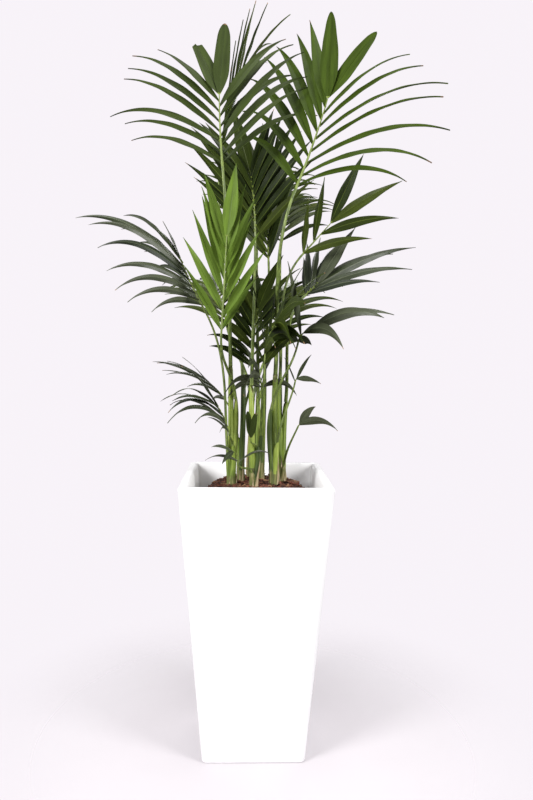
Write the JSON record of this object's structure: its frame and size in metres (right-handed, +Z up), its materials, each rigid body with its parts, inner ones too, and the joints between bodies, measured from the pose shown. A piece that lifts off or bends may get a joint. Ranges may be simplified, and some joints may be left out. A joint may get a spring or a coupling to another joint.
{
  "type": "potted kentia palm",
  "caption": "Kentia palm with arching feathered fronds on slim stems, in a tall tapered square white planter",
  "frame": {"origin": "centre of the planter's flat underside", "axes": "+Z up, -Y towards the front, +X to the right as seen from the front"},
  "size_m": [0.898, 0.8624, 2.1112],
  "materials": {
    "planter_white": "satin white",
    "bark_mix": "rough",
    "cane_green": "smooth, papery at the foot",
    "stalk_green": "smooth",
    "leaf_deep": "satin",
    "leaf_mid": "satin",
    "leaf_fresh": "satin",
    "leaf_cool": "satin"
  },
  "bodies": {
    "root": {"planter": "planter_white", "potting_mix": "bark_mix", "cane_left_front": "cane_green", "cane_left_rear": "cane_green", "cane_middle_front": "cane_green", "cane_middle_rear": "cane_green", "cane_right_front": "cane_green", "cane_right_rear": "cane_green", "cane_rear": "cane_green", "stalk_upper_left": "stalk_green", "stalk_upper_right": "stalk_green", "stalk_top_rear": "stalk_green", "stalk_near_left": "stalk_green", "stalk_left": "stalk_green", "stalk_low_left": "stalk_green", "stalk_lowest_left": "stalk_green", "stalk_right": "stalk_green", "stalk_mid_right": "stalk_green", "stalk_low_right": "stalk_green", "stalk_centre": "stalk_green", "stalk_upper_middle": "stalk_green", "stalk_inner_left": "stalk_green", "stalk_inner_right": "stalk_green", "stalk_upper_rear": "stalk_green", "stalk_rear_right": "stalk_green", "stalk_rear_left": "stalk_green", "stalk_upper_rear_right": "stalk_green", "stalk_low_middle": "stalk_green", "stalk_short_right": "stalk_green", "stalk_seedling_right": "stalk_green", "stalk_seedling_left": "stalk_green", "stalk_young": "stalk_green", "frond_upper_left": "leaf_deep", "frond_upper_right": "leaf_mid", "frond_top_rear": "leaf_deep", "frond_near_left": "leaf_fresh", "frond_left": "leaf_cool", "frond_low_left": "leaf_cool", "frond_lowest_left": "leaf_cool", "frond_right": "leaf_deep", "frond_mid_right": "leaf_cool", "frond_low_right": "leaf_cool", "frond_centre": "leaf_deep", "frond_upper_middle": "leaf_deep", "frond_inner_left": "leaf_deep", "frond_inner_right": "leaf_deep", "frond_upper_rear": "leaf_deep", "frond_rear_right": "leaf_deep", "frond_rear_left": "leaf_deep", "frond_upper_rear_right": "leaf_deep", "frond_low_middle": "leaf_cool", "frond_short_right": "leaf_cool", "frond_seedling_right": "leaf_cool", "frond_seedling_left": "leaf_cool", "frond_young": "leaf_deep"}
  },
  "joints": []
}
